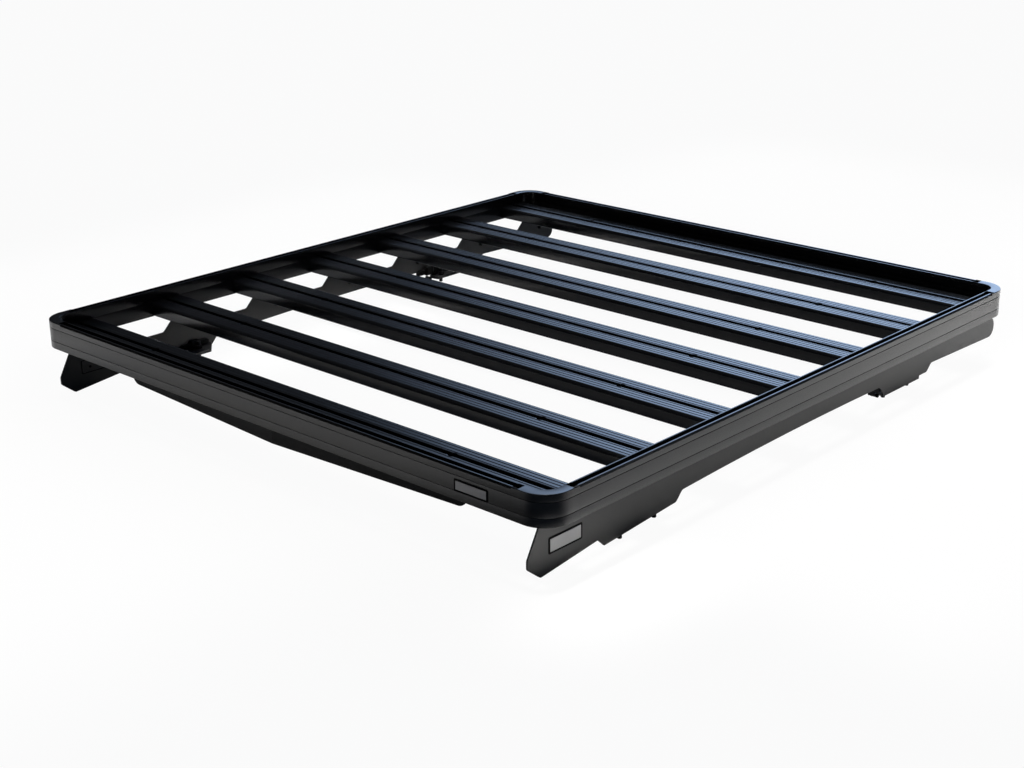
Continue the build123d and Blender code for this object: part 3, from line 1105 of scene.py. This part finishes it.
@dataclass
class Studio:
    """White stage, lamps and camera."""

    floor_reach: float = 40.0
    floor_colour: tuple[float, float, float, float] = (0.3, 0.3, 0.3, 1.0)
    seen_white: float = 0.955
    mirrored_white: float = 0.005
    sky: tuple[float, float, float, float] = (0.033, 0.035, 0.04, 1.0)
    glow: tuple[float, float, float, float] = (1.78, 2.41, 3.52, 1.0)
    glow_azimuth: float = radians(13.5)
    glow_elevation: float = radians(27.8)
    glow_rim: float = 0.842
    glow_core: float = 0.955
    focal_pixels: float = 1665.86
    image_width: float = 1024.0
    sensor_width: float = 36.0
    sight: float = 200.0
    azimuth: float = radians(42.56)
    elevation: float = radians(20.05)
    roll: float = radians(-0.46)
    distance: float = 3.17004
    shift: tuple[float, float] = (-0.04382, -0.13405)
    lamps: tuple[Softbox, ...] = (
        Softbox("left_lamp", (-0.54, -1.25, 2.2), (1.7, 0.9), 13.0, radians(16)),
        Softbox("right_lamp", (0.9, 0.55, 2.2), (0.6, 2.1), 12.4, radians(11)),
        Softbox("rear_lamp", (0.95, 1.13, 2.2), (0.8, 0.9), 12.6, radians(40)),
        Softbox("toe_lamp", (0.69, -0.62, 2.2), (0.12, 0.3), 0.9, radians(8)),
        Softbox("gap_lamp", (-0.49, 0.15, 2.4), (0.1, 1.1), 1.6, radians(6)),
        Softbox("back_lamp", (-0.2, 1.6, 2.2), (1.6, 1.0), 10.0, radians(18)),
        Softbox("far_lamp", (-1.15, 0.0, 2.2), (0.7, 2.0), 9.0, radians(14)),
        Softbox("top_softbox", (0.0, 0.0, 2.6), (1.25, 1.36), 4.6, radians(20)),
    )

    def build(self, pivot: Vector) -> None:
        """Build the stage, hang the lamps and place the camera.

        Args:
            pivot: Middle of the deck, about which the camera turns.
        """
        self._floor()
        self._world()
        for lamp in self.lamps:
            lamp.hang()
        self._camera(pivot)
        bpy.context.scene.view_settings.view_transform = "Standard"

    def _floor(self) -> None:
        """Lay a floor that looks white and keeps a soft shadow."""
        reach = self.floor_reach
        mesh = bpy.data.meshes.new("floor")
        corners = [(-reach, -reach, 0), (reach, -reach, 0), (reach, reach, 0), (-reach, reach, 0)]
        mesh.from_pydata(corners, [], [(0, 1, 2, 3)])
        floor = bpy.data.objects.new("floor", mesh)
        bpy.context.scene.collection.objects.link(floor)
        floor.data.materials.append(self._floor_paint())

    def _floor_paint(self) -> bpy.types.Material:
        """Mix the paint of the floor, lit by the lamps and partly white by itself where it is seen.

        Returns:
            Material of the floor.
        """
        paint = bpy.data.materials.new("stage_white")
        paint.use_nodes = True
        nodes = paint.node_tree.nodes
        links = paint.node_tree.links
        nodes.clear()
        lit = nodes.new("ShaderNodeBsdfDiffuse")
        lit.inputs["Color"].default_value = self.floor_colour
        white = nodes.new("ShaderNodeEmission")
        ray = nodes.new("ShaderNodeLightPath")
        seen = self._share(paint, ray.outputs["Is Camera Ray"], self.seen_white)
        shiny = nodes.new("ShaderNodeMath")
        shiny.operation = "MAXIMUM"
        links.new(ray.outputs["Is Glossy Ray"], shiny.inputs[0])
        links.new(ray.outputs["Is Transmission Ray"], shiny.inputs[1])
        mirrored = self._share(paint, shiny.outputs[0], self.mirrored_white)
        total = nodes.new("ShaderNodeMath")
        total.operation = "ADD"
        links.new(seen, total.inputs[0])
        links.new(mirrored, total.inputs[1])
        mix = nodes.new("ShaderNodeMixShader")
        links.new(total.outputs[0], mix.inputs["Fac"])
        links.new(lit.outputs[0], mix.inputs[1])
        links.new(white.outputs[0], mix.inputs[2])
        output = nodes.new("ShaderNodeOutputMaterial")
        links.new(mix.outputs[0], output.inputs["Surface"])
        return paint

    @staticmethod
    def _share(
        paint: bpy.types.Material, kind: bpy.types.NodeSocket, share: float
    ) -> bpy.types.NodeSocket:
        """Share of the white for one kind of ray.

        Args:
            paint: Material of the floor.
            kind: Socket that is 1 for the kind of ray.
            share: Share of the white there.

        Returns:
            Socket with the share.
        """
        scale = paint.node_tree.nodes.new("ShaderNodeMath")
        scale.operation = "MULTIPLY"
        scale.inputs[1].default_value = share
        paint.node_tree.links.new(kind, scale.inputs[0])
        return scale.outputs[0]

    def _world(self) -> None:
        """Set a dim sky with a soft blue glow behind the rack."""
        world = bpy.data.worlds.new("sky")
        world.use_nodes = True
        nodes = world.node_tree.nodes
        links = world.node_tree.links
        toward = nodes.new("ShaderNodeVectorMath")
        toward.operation = "DOT_PRODUCT"
        links.new(nodes.new("ShaderNodeTexCoord").outputs["Generated"], toward.inputs[0])
        level = cos(self.glow_elevation)
        toward.inputs[1].default_value = (
            -sin(self.glow_azimuth) * level,
            cos(self.glow_azimuth) * level,
            sin(self.glow_elevation),
        )
        fade = nodes.new("ShaderNodeMapRange")
        fade.interpolation_type = "SMOOTHSTEP"
        fade.inputs["From Min"].default_value = self.glow_rim
        fade.inputs["From Max"].default_value = self.glow_core
        links.new(toward.outputs["Value"], fade.inputs["Value"])
        blend = self._mix(world, fade.outputs["Result"])
        blend.inputs["A"].default_value = self.sky
        blend.inputs["B"].default_value = self.glow
        seen = self._mix(world, nodes.new("ShaderNodeLightPath").outputs["Is Camera Ray"])
        seen.inputs["B"].default_value = (1.0, 1.0, 1.0, 1.0)
        links.new(blend.outputs["Result"], seen.inputs["A"])
        links.new(seen.outputs["Result"], nodes["Background"].inputs["Color"])
        bpy.context.scene.world = world

    @staticmethod
    def _mix(world: bpy.types.World, share: bpy.types.NodeSocket) -> bpy.types.Node:
        """Mix two colours of the sky.

        Args:
            world: World that takes the node.
            share: Socket with the share of the second colour.

        Returns:
            Node that mixes the colours.
        """
        mix = world.node_tree.nodes.new("ShaderNodeMix")
        mix.data_type = "RGBA"
        mix.clamp_result = False
        world.node_tree.links.new(share, mix.inputs["Factor"])
        return mix

    def _camera(self, pivot: Vector) -> None:
        """Place the camera as it stood for the photo.

        Args:
            pivot: Middle of the deck, about which the camera turns.
        """
        back = Vector(
            (
                sin(self.azimuth) * cos(self.elevation),
                -cos(self.azimuth) * cos(self.elevation),
                sin(self.elevation),
            )
        )
        level = Vector((cos(self.azimuth), sin(self.azimuth), 0))
        upright = back.cross(level)
        right = level * cos(self.roll) + upright * sin(self.roll)
        rise = upright * cos(self.roll) - level * sin(self.roll)
        eye = right * self.shift[0] + rise * self.shift[1] + back * self.distance + pivot
        camera = bpy.data.cameras.new("photo_camera")
        camera.sensor_width = self.sensor_width
        camera.sensor_fit = "HORIZONTAL"
        camera.lens = self.focal_pixels * self.sensor_width / self.image_width
        camera.clip_end = self.sight
        holder = bpy.data.objects.new("photo_camera", camera)
        turn = Matrix((right, rise, back)).transposed().to_4x4()
        holder.matrix_world = Matrix.Translation(eye) @ turn
        bpy.context.scene.collection.objects.link(holder)
        bpy.context.scene.camera = holder


def main() -> None:
    """Build the rack, its stage and its camera."""
    logging.basicConfig(level=logging.INFO, format="%(name)s %(message)s")
    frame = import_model()
    nodes = frame["nodes"]

    perimeter = Perimeter()
    for side in Side:
        perimeter.build_rail(side)
        perimeter.build_corner(side)
    slats = Slats()
    places = []
    for number in range(1, slats.count + 1):
        slats.build(number)
        low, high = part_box(f"slat_{number}")
        places.append((low[1] + high[1]) / 2)
    deck_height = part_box("slat_1")[1][2]

    fasteners = Fasteners()
    for hand in Hand:
        foot = FootRail(hand, fasteners)
        foot.dress(nodes)
        foot.build_bolts(places)
        foot.build_badge(perimeter.middle)
        foot.build_pin(perimeter.middle)
        foot.build_clamps(perimeter.middle)
        for end in ("front", "rear"):
            foot.build_studs(end)
    Deflector(fasteners).dress(nodes)
    perimeter.build_badge()
    Studio().build(Vector((0, perimeter.middle.y, deck_height)))


if __name__ == "__main__":
    main()
